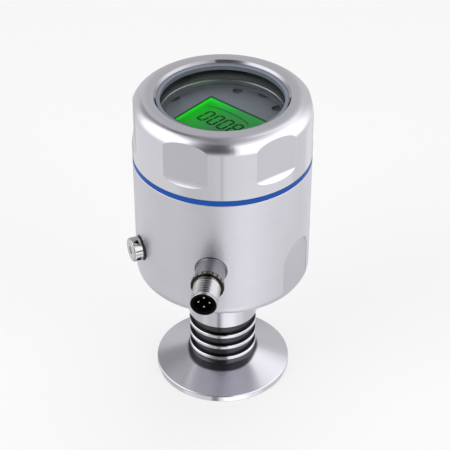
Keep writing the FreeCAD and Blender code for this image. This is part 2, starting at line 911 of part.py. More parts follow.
def connector_insert():
    """Plastic insert with a keyed cavity round the pins."""
    end = connector_end - insert_inset
    floor = end - insert_cavity_depth
    tail = insert_shoulder - insert_tail
    wide = connector_mouth_diameter / 2 - running_gap
    narrow = connector_bore_diameter / 2 - running_gap
    cavity = insert_cavity_diameter / 2
    body = turned([
        (0, tail),
        (narrow, tail),
        (narrow, insert_shoulder),
        (wide, insert_shoulder),
        (wide, end),
        (cavity, end),
        (cavity, floor),
        (0, floor),
    ])
    key_root = (wide - cavity) / 2
    key_centre = (cavity + (key_root - insert_key_height) / 2, 0)
    key = block(insert_key_height + key_root, insert_key_width, floor, end - insert_inset, key_centre)
    body = body.fuse(spun(key, insert_key_angle))
    hole = disc(pin_diameter / 2 + running_gap, tail, floor)
    body = body.cut(Part.Compound([moved(hole, x, y) for x, y in pin_places()]))
    return outward(body, 0, connector_level)


def connector_pins():
    low = insert_shoulder - insert_tail - pin_tail
    high = connector_end - pin_inset
    radius = pin_diameter / 2
    pin = turned([(0, low), (radius, low), (radius, high, pin_tip_rounding), (0, high)])
    return outward(Part.Compound([moved(pin, x, y) for x, y in pin_places()]), 0, connector_level)


def vent_seal():
    body = turned([
        (vent_stem_diameter / 2 + loose_gap, vent_seat),
        (vent_seal_diameter / 2, vent_seat, vent_seal_rounding),
        (vent_seal_diameter / 2, vent_flange_bottom, vent_seal_rounding),
        (vent_stem_diameter / 2 + loose_gap, vent_flange_bottom),
    ])
    return outward(body, vent_bearing, vent_level)


def vent_body():
    """Bored stem with a flange and a neck that carries the cap."""
    tail = vent_nut_face - vent_nut_height - vent_stem_tail
    neck_top = vent_flange_top + vent_neck_height
    body = turned([
        (vent_bore_diameter / 2, tail),
        (vent_stem_diameter / 2, tail),
        (vent_stem_diameter / 2, vent_flange_bottom),
        (vent_flange_diameter / 2, vent_flange_bottom),
        (vent_flange_diameter / 2, vent_flange_top),
        (vent_neck_diameter / 2, vent_flange_top),
        (vent_neck_diameter / 2, neck_top),
        (vent_bore_diameter / 2, neck_top),
    ])
    return outward(body, vent_bearing, vent_level)


def vent_membrane():
    """Breathing membrane over the vent's bore."""
    low = vent_flange_top + vent_neck_height
    body = disc(vent_membrane_diameter / 2, low, low + vent_membrane_thickness)
    return outward(body, vent_bearing, vent_level)


def vent_cap():
    """Polished cap with slots round its side and a small bore in its face."""
    high = vent_flange_top + vent_cap_height
    outer = vent_flange_diameter / 2
    body = turned([
        (outer - vent_cap_wall, vent_flange_top),
        (outer, vent_flange_top),
        (outer, high, vent_cap_wall / 2),
        (vent_cap_bore / 2, high),
        (vent_cap_bore / 2, high - vent_cap_top),
        (outer - vent_cap_wall, high - vent_cap_top),
    ])
    slot_place = (vent_flange_diameter / 2, 0)
    slot_top = vent_flange_top + vent_slot_height
    slot = block(vent_flange_diameter, vent_slot_width, vent_flange_top, slot_top, slot_place)
    slots = around(spun(slot, vent_slot_turn), vent_slot_count)
    return outward(body.cut(Part.Compound(slots)), vent_bearing, vent_level)


def vent_nut():
    low = vent_nut_face - vent_nut_height
    nut = hexagon(vent_nut_across, low, vent_nut_face)
    nut = nut.cut(disc(vent_stem_diameter / 2 + running_gap, low, vent_nut_face))
    return outward(nut, vent_bearing, vent_level)


def save(name, shape):
    """Write one sub-part, after a test that it is whole."""
    if not shape.isValid() or shape.Volume <= 0:
        raise ValueError(name + " is not a sound solid")
    shape.exportStep("parts/" + name + ".step")
    print(name, len(shape.Solids), "solids", round(shape.Volume), "mm3")


save("process_body", process_body())
save("diaphragm", diaphragm())
save("sensor_header", sensor_header())
save("header_seal", header_seal())
save("sensor_die", sensor_die())
save("header_pins", header_pins())
save("sensor_ring", sensor_ring())
save("sensor_board", sensor_board())
save("neck_seal", neck_seal())
save("neck_nut", neck_nut())
save("housing", housing())
save("cover_gasket", cover_gasket())
save("cover", cover())
save("window_seal", window_seal())
save("window_glass", window_glass())
save("glass_gasket", glass_gasket())
save("glass_retainer", glass_retainer())
save("display_bezel", display_bezel())
save("lcd_panel", lcd_panel())
save("lcd_backlight", lcd_backlight())
save("display_board", display_board())
save("display_screws", display_screws())
save("display_chips", display_chips())
save("display_cup", display_cup())
save("cup_screws", cup_screws())
save("board_pillars", board_pillars())
save("main_board", round_board(main_board_bottom))
save("power_board", round_board(power_board_bottom))
save("signal_chips", signal_chips())
save("capacitors", capacitors())
save("board_link", board_link())
save("terminal_strip", terminal_strip())
save("connector_shell", connector_shell())
save("connector_seal", connector_seal())
save("connector_ring", connector_ring())
save("connector_insert", connector_insert())
save("connector_pins", connector_pins())
save("vent_seal", vent_seal())
save("vent_body", vent_body())
save("vent_membrane", vent_membrane())
save("vent_cap", vent_cap())
save("vent_nut", vent_nut())
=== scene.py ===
"""Looks of a clamp-mounted pressure transducer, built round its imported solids.

Everything is in metres, in the solids' own frame: the turning axis is Z, the process face lies at z = 0, and
the connector points along -Y. Colours are linear. The function mm turns millimetres into metres.
"""
import math

import bmesh
import bpy
from bpy.props import FloatProperty, FloatVectorProperty, IntProperty, PointerProperty, StringProperty
from mathutils import Matrix, Vector


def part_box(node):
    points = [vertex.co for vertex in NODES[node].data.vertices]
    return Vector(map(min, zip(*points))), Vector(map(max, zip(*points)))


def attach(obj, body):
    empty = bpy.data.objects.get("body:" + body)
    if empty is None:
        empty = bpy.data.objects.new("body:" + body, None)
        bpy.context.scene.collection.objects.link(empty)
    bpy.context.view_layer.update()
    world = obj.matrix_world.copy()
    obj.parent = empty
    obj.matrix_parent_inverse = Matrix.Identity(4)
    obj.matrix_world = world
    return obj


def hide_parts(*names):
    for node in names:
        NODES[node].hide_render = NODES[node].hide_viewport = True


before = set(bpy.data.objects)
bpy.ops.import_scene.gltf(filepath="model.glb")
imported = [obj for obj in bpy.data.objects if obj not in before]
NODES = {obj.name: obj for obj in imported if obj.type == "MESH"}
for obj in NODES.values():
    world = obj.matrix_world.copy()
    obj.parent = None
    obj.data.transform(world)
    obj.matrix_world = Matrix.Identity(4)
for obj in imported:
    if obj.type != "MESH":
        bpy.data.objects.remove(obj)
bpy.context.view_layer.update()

bl_info = {
    "name": "Pressure Transducer Looks",
    "version": (1, 0, 0),
    "blender": (4, 5, 0),
    "location": "3D View > Sidebar > Transducer",
    "description": "Dresses the transducer's solids with their thread, display figures, finishes and stage",
    "category": "Object",
}

MM = 0.001


def mm(*lengths):
    """Lengths given in millimetres, in metres."""
    return tuple(length * MM for length in lengths)


# The connector's axis runs out along -Y at one height, and its mouth is the shell's far end
SHELL_LOW, SHELL_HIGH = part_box("connector_shell")
CONNECTOR_HEIGHT = (SHELL_LOW.z + SHELL_HIGH.z) / 2
CONNECTOR_START, CONNECTOR_MOUTH = -SHELL_HIGH.y, -SHELL_LOW.y

# The vent's axis runs out at a bearing from -Y, counted towards +X
VENT_CENTRE = (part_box("vent_cap")[0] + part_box("vent_cap")[1]) / 2
VENT_BEARING = math.atan2(VENT_CENTRE.x, -VENT_CENTRE.y)

# Placements: the point that a piece's own axes start from, and their turn about X, Y and Z
UPRIGHT = ((0.0, 0.0, 0.0), (0.0, 0.0, 0.0))
ALONG_CONNECTOR = ((0.0, 0.0, CONNECTOR_HEIGHT), (math.pi / 2, 0.0, 0.0))
ALONG_VENT = ((0.0, 0.0, VENT_CENTRE.z), (math.pi / 2, 0.0, VENT_BEARING))
# The display module stands turned, and its own X runs along the row of figures
ON_DISPLAY = ((0.0, 0.0, 0.0), (0.0, 0.0, math.radians(-33.5)))

SCREEN_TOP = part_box("lcd_panel")[1].z
INK_THICKNESS = 0.04 * MM

SOCKET_NAMES = {
    "colour": "Base Color",
    "metal": "Metallic",
    "rough": "Roughness",
    "normal": "Normal",
    "coat": "Coat Weight",
    "coat_rough": "Coat Roughness",
    "glow": "Emission Color",
    "glow_strength": "Emission Strength",
    "gloss": "Specular IOR Level",
    "anisotropy": "Anisotropic",
    "brushing_turn": "Anisotropic Rotation",
    "soft": "Subsurface Weight",
    "soft_radius": "Subsurface Radius",
    "soft_scale": "Subsurface Scale",
}


class Wire:
    """A node's output, whose arithmetic adds Math nodes."""

    def __init__(self, shader, socket):
        self.shader = shader
        self.socket = socket

    def __add__(self, other):
        return self.shader.math("ADD", self, other)

    __radd__ = __add__

    def __sub__(self, other):
        return self.shader.math("SUBTRACT", self, other)

    def __rsub__(self, other):
        return self.shader.math("SUBTRACT", other, self)

    def __mul__(self, other):
        return self.shader.math("MULTIPLY", self, other)

    __rmul__ = __mul__

    def __truediv__(self, other):
        return self.shader.math("DIVIDE", self, other)

    def __rtruediv__(self, other):
        return self.shader.math("DIVIDE", other, self)


class Shader:
    """The node tree of one finish or of the world."""

    def __init__(self, tree):
        self.tree = tree
        tree.nodes.clear()

    def node(self, kind, settings=(), inputs=(), output=0):
        """Adds a node, sets it up, fills its inputs by name or number, and gives one of the outputs it may have."""
        node = self.tree.nodes.new(kind)
        for name, value in dict(settings).items():
            setattr(node, name, value)
        for key, value in dict(inputs).items():
            if isinstance(value, Wire):
                self.tree.links.new(value.socket, node.inputs[key])
            else:
                node.inputs[key].default_value = value
        return Wire(self, node.outputs[output]) if len(node.outputs) else None

    def math(self, operation, *values):
        """A Math node on numbers or wires."""
        return self.node("ShaderNodeMath", {"operation": operation}, dict(enumerate(values)))

    def rise(self, value, off, full):
        """0 at one value and 1 at another, whichever is the larger, with a smooth slope between."""
        low, high = sorted((off, full))
        ends = {"From Min": low, "From Max": high, "To Min": float(off > full), "To Max": float(full > off)}
        return self.node("ShaderNodeMapRange", {"interpolation_type": "SMOOTHSTEP"}, {"Value": value, **ends})

    def mix(self, share, first, second):
        """A colour between two colours, whose sockets on this node are 6 and 7 in, and 2 out."""
        return self.node("ShaderNodeMix", {"data_type": "RGBA"}, {0: share, 6: first, 7: second}, 2)

    def blend(self, share, first, second):
        """A surface between two surfaces."""
        return self.node("ShaderNodeMixShader", inputs={0: share, 1: first, 2: second})

    def toned(self, colour, tone):
        """A colour made darker or lighter by a factor."""
        return self.node("ShaderNodeVectorMath", {"operation": "SCALE"}, {"Vector": colour[:3], "Scale": tone})

    def ray(self, kind):
        """1 for the rays of one kind, such as Camera or Glossy, and 0 for the rest."""
        return self.node("ShaderNodeLightPath", output=f"Is {kind} Ray")

    def mapped(self, vector, location, rotation):
        """A vector seen from a place and turn."""
        inputs = {"Vector": vector, "Location": location, "Rotation": rotation}
        return self.node("ShaderNodeMapping", {"vector_type": "TEXTURE"}, inputs)

    def place(self, placement):
        """Object coordinates along a piece's own axes."""
        return self.mapped(self.node("ShaderNodeTexCoord", output="Object"), *placement)

    def parts(self, vector):
        """The three numbers of a vector."""
        return [self.node("ShaderNodeSeparateXYZ", inputs={0: vector}, output=step) for step in range(3)]

    def join(self, x, y, z):
        """A vector of three numbers."""
        return self.node("ShaderNodeCombineXYZ", inputs={0: x, 1: y, 2: z})

    def noise(self, vector, scale, detail=2.0, roughness=0.5):
        """Noise from 0 to 1 with its middle near 0.5."""
        inputs = {"Vector": vector, "Scale": scale, "Detail": detail, "Roughness": roughness}
        return self.node("ShaderNodeTexNoise", {"noise_dimensions": "3D"}, inputs)

    def bump(self, height, distance, normal=None):
        """Normal of a surface that a height from 0 to 1 raises by a distance, over another normal if there is one."""
        inputs = {"Height": height, "Distance": distance, "Strength": 1.0}
        if normal is not None:
            inputs["Normal"] = normal
        return self.node("ShaderNodeBump", inputs=inputs)

    def surface(self, **values):
        """The finish's surface shader, with its inputs named in plain words."""
        inputs = {SOCKET_NAMES[name]: value for name, value in values.items()}
        return self.node("ShaderNodeBsdfPrincipled", inputs=inputs)

    def show(self, surface, kind="ShaderNodeOutputMaterial"):
        """Ends the tree in its output."""
        self.node(kind, inputs={"Surface": surface})


def grey(level):
    """A colour without hue, where 1 is white."""
    return (level, level, level, 1.0)


def finish(name):
    """A new material and its shader."""
    material = bpy.data.materials.new(name)
    material.use_nodes = True
    return material, Shader(material.node_tree)


def polar(shader, placement):
    """Distance from a piece's axis, angle round it and place along it."""
    x, y, along = shader.parts(shader.place(placement))
    return shader.math("SQRT", x * x + y * y), shader.math("ARCTAN2", y, x), along


# Zones of tone on the turned solids, most of them painted shade and one a painted highlight. Each pair of radii or
# heights is a slope: where a zone is off, and where it is full. A zone function takes a solid's polar places, and
# gives a factor on its colour and a change of roughness.
FIN_GROOVES, BELOW_COLLAR = mm(15.9, 15.6), mm(32.6, 32.3)
FIN_ROOT, ROOT_BULGE = mm(17.6, 16.2), 2.4 * MM
ABOVE_ROOT, ABOVE_CONE = mm(11.6, 12.0), mm(6.6, 7.1)
# The connector's side of the neck, by the cosine of the way round from it, where the painted root shade reaches out
CONNECTOR_SIDE = (0.2, 1.0)
FERRULE_RIM, RIM_TOP = mm(31.2, 31.6), mm(2.6, 2.4)
INSIDE_WALL, OUTSIDE_WALL = mm(39.97, 39.93), mm(40.005, 40.02)
BOSS_JOINT = mm(40.7, 40.3)
INSIDE_SHOULDER, OUTSIDE_MOUTH = mm(39.97, 39.9), mm(32.5, 33.0)
MOUTH_EDGE, MOUTH_TOP = mm(30.02, 29.95), mm(149.3, 149.5)
RING_CRESTS = mm(7.28, 7.36)
LIP_EDGE, BARREL_BORE = mm(5.66, 5.6), mm(5.35, 5.3)
END_FACE = (CONNECTOR_MOUTH - 0.06 * MM, CONNECTOR_MOUTH - 0.03 * MM)
GLASS_EDGE = mm(32.4, 32.8)

# Milled flats of a turned wall: how many they are, the bearing of one from +X, their distance from the axis, how far
# from that distance their zone is gone, and how near to it their zone is full
COVER_FLATS = (6, math.radians(-106.5), *mm(38.6, 0.06, 0.02))
HOUSING_FLATS = (2, math.radians(-25.0), *mm(38.5, 0.1, 0.05))


def on_flats(shader, where, count, bearing, distance, gone, full):
    """1 on the milled flats of a turned wall, and 0 on the wall."""
    radius, angle, _ = where
    off = shader.math("PINGPONG", angle - bearing, math.pi / count)
    depth = radius * shader.math("COSINE", off)
    near = (shader.rise(depth, distance + gone, distance + full)
            * shader.rise(depth, distance - gone, distance - full))
    return near * shader.rise(radius, *INSIDE_WALL)


def neck_tone(shader, where):
    """Process body: painted shade between the fins and at their root, and a painted highlight on the ferrule's rim.
    """
    black, dull, painted_rim_highlight = 0.9, 0.06, 0.2
    radius, angle, along = where
    grooves = shader.rise(radius, *FIN_GROOVES) * shader.rise(along, *BELOW_COLLAR)
    connector_side = shader.rise(shader.math("COSINE", angle + math.pi / 2), *CONNECTOR_SIDE)
    root = shader.rise(radius - connector_side * ROOT_BULGE, *FIN_ROOT)
    above_root = shader.rise(along, *ABOVE_ROOT)
    # Painted shade: near black between the fins, and round their root, further out on the connector's side
    neck_painted_shade = (root * (1.0 - above_root) + grooves * above_root) * shader.rise(along, *ABOVE_CONE)
    # Painted highlight: the ferrule's rim is lighter
    rim = shader.rise(radius, *FERRULE_RIM) * shader.rise(along, *RIM_TOP)
    return (1.0 - neck_painted_shade * black) * (rim * painted_rim_highlight + 1.0), neck_painted_shade * dull


def cover_tone(shader, where):
    """Cover: painted shade on the wrench flats and on the mouth's edge, which is also bright cut, and a duller
    shoulder.
    """
    wall, painted_flat_shade, painted_mouth_shade, dull_shoulder, bright_cut = 1.03, 0.1, 0.42, 0.1, 0.07
    radius, _, along = where
    # Painted shade on the wrench flats
    flat = on_flats(shader, where, *COVER_FLATS)
    shoulder = shader.rise(radius, *INSIDE_SHOULDER) * shader.rise(radius, *OUTSIDE_MOUTH)
    # Painted shade on the mouth's edge
    mouth = shader.rise(radius, *MOUTH_EDGE) * shader.rise(along, *MOUTH_TOP)
    return wall - flat * painted_flat_shade - mouth * painted_mouth_shade, shoulder * dull_shoulder - mouth * bright_cut


def housing_tone(shader, where):
    """Housing: painted shade on the two milled flats and on the boss, which stands out of the turned wall, and more
    in the crevice round the boss.
    """
    wall, painted_flat_shade, painted_boss_shade, painted_crevice_shade, bright_boss = 0.94, 0.12, 0.57, 0.2, 0.16
    radius = where[0]
    # Painted shade on the boss, which is also less rough
    boss = shader.rise(radius, *OUTSIDE_WALL)
    # Painted shade in the crevice where the boss meets the wall
    joint = boss * shader.rise(radius, *BOSS_JOINT)
    # Painted shade on the milled flats
    flat = on_flats(shader, where, *HOUSING_FLATS)
    return wall - boss * painted_boss_shade - joint * painted_crevice_shade - flat * painted_flat_shade, boss * -bright_boss


def ring_tone(shader, where):
    """Connector's ring: its flutes and end faces are dark, and its crests are worn bright."""
    dark, wear, polish = 0.35, 1.5, 0.05
    worn = shader.rise(where[0], *RING_CRESTS)
    return worn * wear + dark, worn * -polish


def lip_tone(shader, where):
    """Connector's barrel: near black inside with painted shade, and a black sealing lip on its end face, within the
    bright edge.
    """
    black, dull = 0.99, 0.3
    radius, _, along = where
    lip = shader.rise(along, *END_FACE) * shader.rise(radius, *LIP_EDGE)
    # Painted shade inside the bore, and the black lip on the end face
    lip_and_bore_shade = shader.math("MAXIMUM", lip, shader.rise(radius, *BARREL_BORE))
    return 1.0 - lip_and_bore_shade * black, lip_and_bore_shade * dull


def turned_metal(name, colour, rough, placement=UPRIGHT, groove=0.35 * MM, depth=0.4e-6, waviness=0.0,
                 anisotropy=0.0, tint=0.05, zones=None, metal=1.0):
    """Metal from the lathe: fine rings round its axis, slow changes of tone and faint handling marks."""
    streaks_round, mark_scale, smudge, brushed_round = 0.6, 55.0, 0.04, 0.25
    wave_width, wave_length, waves_round = 9 * MM, 60 * MM, 3.2
    material, shader = finish(name)
    where = radius, angle, along = polar(shader, placement)
    rings = shader.noise(shader.join(radius / groove, along / groove, angle * streaks_round), 1.0, 3.0, 0.6)
    marks = shader.noise(shader.place(placement), mark_scale, 4.0, 0.55)
    patchy = rings + marks - 1.0
    tone = patchy * tint + 1.0
    roughness = patchy * smudge + rough
    # Zones add painted shade, painted highlights and other marks to the tone and roughness
    if zones is not None:
        level, dullness = zones(shader, where)
        tone = tone * level
        roughness = roughness + dullness
    normal = shader.bump(rings, depth)
    if waviness:
        slow = shader.noise(shader.join(radius / wave_width, along / wave_length, angle * waves_round), 1.0, 1.0)
        normal = shader.bump(slow, waviness, normal)
    shader.show(shader.surface(colour=shader.toned(colour, tone), metal=metal, rough=roughness, normal=normal,
                               anisotropy=anisotropy, brushing_turn=brushed_round))
    return material


def plated_metal(name, colour, rough):
    """Plated small part: even metal with a faint cloud in tone and gloss, and fine grain."""
    cloud_scale, grain_scale, grain_depth = 400.0, 2400.0, 1.5e-6
    tint, smudge = 0.08, 0.1
    material, shader = finish(name)
    where = shader.place(UPRIGHT)
    cloud = shader.noise(where, cloud_scale, 3.0) - 0.5
    normal = shader.bump(shader.noise(where, grain_scale), grain_depth)
    shader.show(shader.surface(colour=shader.toned(colour, cloud * tint + 1.0), metal=1.0,
                               rough=cloud * smudge + rough, normal=normal))
    return material


def moulded(name, colour, rough, depth=6e-6, gloss=0.5, soft=0.0, sunk=None):
    """Moulded plastic or rubber: fine spark texture, slow change of tone, and painted shade on the surface below a
    level.
    """
    spark_scale, cloud_scale, tint, smudge, sparkle = 9000.0, 90.0, 0.06, 0.08, 0.06
    sunk_slope, sunk_painted_shade = 0.2 * MM, 0.55
    material, shader = finish(name)
    where = shader.place(UPRIGHT)
    grain = shader.noise(where, spark_scale)
    cloud = shader.noise(where, cloud_scale, 3.0) - 0.5
    tone = cloud * tint + 1.0
    # Painted shade on the surface below the sunk level, such as the display face's notches
    if sunk is not None:
        tone = tone * (1.0 - shader.rise(shader.parts(where)[2], sunk, sunk - sunk_slope) * sunk_painted_shade)
    roughness = cloud * smudge + (grain - 0.5) * sparkle + rough
    shader.show(shader.surface(colour=shader.toned(colour, tone), rough=roughness, normal=shader.bump(grain, depth),
                               gloss=gloss, soft=soft, soft_radius=(1.0, 1.0, 1.0), soft_scale=0.4 * MM))
    return material


def circuit_board(name, colour, line):
    """Solder-masked board: copper tracks on a fine grid show as slightly lighter, raised lines."""
    lane, track_edge, track_height = 0.8 * MM, (0.55, 0.7), 30e-6
    region_scale, region_edge = 120.0, (0.48, 0.52)
    material, shader = finish(name)
    where = shader.place(UPRIGHT)
    upright, across = (shader.rise(shader.math("PINGPONG", place / lane, 1.0), *track_edge)
                       for place in shader.parts(where)[:2])
    region = shader.rise(shader.noise(where, region_scale, 1.0), *region_edge)
    track = upright * region + across * (1.0 - region)
    shader.show(shader.surface(colour=shader.mix(track, colour, line), rough=0.32,
                               normal=shader.bump(track, track_height), coat=0.4, coat_rough=0.15))
    return material


def window_pane(name, edge_colour):
    """Clear toughened glass: it lets light straight through and reflects by angle; its ground edge is dark green."""
    coating = 0.3
    material, shader = finish(name)
    edge = shader.rise(polar(shader, UPRIGHT)[0], *GLASS_EDGE)
    clear = shader.node("ShaderNodeBsdfTransparent", inputs={"Color": (0.93, 0.96, 0.95, 1.0)})
    shine = shader.node("ShaderNodeBsdfGlossy", inputs={"Color": grey(1.0), "Roughness": 0.01})
    outside = 1.0 - shader.node("ShaderNodeNewGeometry", output="Backfacing")
    fresnel = shader.node("ShaderNodeFresnel", inputs={"IOR": 1.45}) * outside * coating
    ground = shader.surface(colour=edge_colour, rough=0.4)
    shader.show(shader.blend(edge, shader.blend(fresnel, clear, shine), ground))
    return material


def lit_screen(name, settings):
    """Backlit display: bright at the lamp's edge and duller towards the far corner, under a matt polariser."""
    across, down = mm(-17.3, 4.0), mm(12.0, -9.0)
    lamp_line, upper_edge = mm(-14.6, -16.6), mm(12.3, 7.0)
    cloud_scale, patchy, fade = 160.0, 0.06, 0.75
    material, shader = finish(name)
    where = shader.place(ON_DISPLAY)
    x, y = shader.parts(where)[:2]
    from_lamp = shader.rise(x, *across)
    cloud = shader.noise(where, cloud_scale) - 0.5
    dull = shader.math("MAXIMUM", from_lamp * fade + cloud * patchy, shader.rise(y, *down) * from_lamp)
    near = shader.mix(shader.rise(y, *upper_edge), settings.side_colour, settings.lamp_colour)
    near = shader.mix(shader.rise(x, *lamp_line), near, settings.edge_colour)
    face = shader.mix(dull, near, settings.far_colour)
    shader.show(shader.surface(colour=face, rough=0.35, glow=face, glow_strength=settings.glow, gloss=0.08))
    return material


def mesh_object(name, bm, body, material, smooth=None):
    """Writes a bmesh as a finished piece on a body, with edges sharper than an angle kept crisp."""
    merge_distance = 1e-7
    bmesh.ops.remove_doubles(bm, verts=bm.verts, dist=merge_distance)
    bmesh.ops.recalc_face_normals(bm, faces=bm.faces)
    mesh = bpy.data.meshes.new(name)
    bm.to_mesh(mesh)
    bm.free()
    if smooth is not None:
        mesh.shade_smooth()
        mesh.set_sharp_from_angle(angle=smooth)
    mesh.materials.append(material)
    piece = bpy.data.objects.new(name, mesh)
    bpy.context.scene.collection.objects.link(piece)
    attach(piece, body)
    return piece


def spun_profile(bm, corners, steps):
    """Closed ring turned about Z from (radius, height) corners."""
    verts = [bm.verts.new((radius, 0.0, height)) for radius, height in corners]
    edges = [bm.edges.new((verts[step - 1], verts[step])) for step in range(len(verts))]
    bmesh.ops.spin(bm, geom=verts + edges, cent=(0, 0, 0), axis=(0, 0, 1), angle=math.tau, steps=steps,
                   use_merge=True)


def seated(placement):
    """The matrix that takes a piece built round its own Z to its placement, which has no turn about Y."""
    location, rotation = placement
    return Matrix.Translation(location) @ Matrix.Rotation(rotation[2], 4, "Z") @ Matrix.Rotation(rotation[0], 4, "X")


class ConnectorSettings(bpy.types.PropertyGroup):
    """Sizes of the connector's thread."""
    pitch: FloatProperty(name="Pitch", description="Rise of the thread in one turn", default=1.2 * MM,
                         unit="LENGTH", precision=5)
    crest: FloatProperty(name="Crest radius", description="Outside radius of the thread", default=5.98 * MM,
                         unit="LENGTH", precision=5)
    root: FloatProperty(name="Root radius", description="Radius at the bottom of the thread", default=5.42 * MM,
                        unit="LENGTH", precision=5)
    lead: FloatProperty(name="Plain end", description="Length of the smooth band at the mouth", default=1.7 * MM,
                        unit="LENGTH", precision=5)
    steps: IntProperty(name="Steps a turn", description="Faces in one turn of the thread", default=48, min=12)


class ScreenSettings(bpy.types.PropertyGroup):
    """Figures and colours of the display."""
    digits: StringProperty(name="Digits", description="Figures that the display shows", default="0008")
    digit_width: FloatProperty(name="Digit width", description="Width of one figure", default=3.3 * MM,
                               unit="LENGTH", precision=5)
    digit_height: FloatProperty(name="Digit height", description="Height of one figure", default=8.3 * MM,
                                unit="LENGTH", precision=5)
    digit_pitch: FloatProperty(name="Digit pitch", description="Step from one figure to the next",
                               default=5.45 * MM, unit="LENGTH", precision=5)
    stroke: FloatProperty(name="Stroke", description="Width of a segment", default=0.98 * MM,
                          unit="LENGTH", precision=5)
    slant: FloatProperty(name="Slant", description="Lean of the figures", default=math.radians(6.0),
                         subtype="ANGLE")
    lamp_colour: FloatVectorProperty(name="Lamp side", description="Green beside the backlight's lamp",
                                     default=(0.0, 0.26, 0.004, 1.0), size=4, subtype="COLOR")
    side_colour: FloatVectorProperty(name="Upper edge", description="Green along the screen's upper edge",
                                     default=(0.0, 0.46, 0.02, 1.0), size=4, subtype="COLOR")
    edge_colour: FloatVectorProperty(name="Bright line", description="Green along the lamp itself",
                                     default=(0.0, 0.5, 0.0, 1.0), size=4, subtype="COLOR")
    far_colour: FloatVectorProperty(name="Far side", description="Green away from the lamp",
                                    default=(0.022, 0.11, 0.042, 1.0), size=4, subtype="COLOR")
    ink: FloatVectorProperty(name="Ink", description="Colour of the dark segments",
                             default=(0.003, 0.012, 0.006, 1.0), size=4, subtype="COLOR")
    glow: FloatProperty(name="Glow", description="Strength of the backlight", default=0.3, min=0.0)


class FinishSettings(bpy.types.PropertyGroup):
    """Colours of the main finishes."""
    steel: FloatVectorProperty(name="Steel", description="Colour of the bare steel",
                               default=(0.70, 0.694, 0.75, 1.0), size=4, subtype="COLOR")
    steel_rough: FloatProperty(name="Steel roughness", description="Blur of the reflections in the steel",
                               default=0.16, min=0.0, max=1.0, subtype="FACTOR")
    gasket: FloatVectorProperty(name="Gasket", description="Blue of the housing's gasket",
                                default=(0.001, 0.06, 0.3, 1.0), size=4, subtype="COLOR")
    bezel: FloatVectorProperty(name="Display face", description="Grey of the display's face",
                               default=(0.122, 0.122, 0.148, 1.0), size=4, subtype="COLOR")
    seal: FloatVectorProperty(name="Window seal", description="Pale grey of the seal above the glass",
                              default=(0.125, 0.14, 0.17, 1.0), size=4, subtype="COLOR")


class StageSettings(bpy.types.PropertyGroup):
    """Camera and backdrop."""
    lens: FloatProperty(name="Lens", description="Focal length of the camera in mm", default=120.0,
                        unit="CAMERA")
    distance: FloatProperty(name="Distance", description="From the camera to the point it looks at",
                            default=690.2 * MM, unit="LENGTH", precision=4)
    elevation: FloatProperty(name="Elevation", description="Height of the camera above the horizon",
                             default=math.radians(36.04), subtype="ANGLE")
    bearing: FloatProperty(name="Bearing", description="The camera's way round from the connector, towards +X",
                           default=math.radians(7.3), subtype="ANGLE")
    aim_height: FloatProperty(name="Aim height", description="Height of the point that the camera looks at",
                              default=80.53 * MM, unit="LENGTH", precision=5)
    aim_side: FloatProperty(name="Aim side", description="How far that point lies to the camera's right",
                            default=1.1 * MM, unit="LENGTH", precision=5)
    backdrop: FloatProperty(name="Backdrop", description="Level of the background, where 1 is white",
                            default=0.92, min=0.0, max=1.0, subtype="FACTOR")


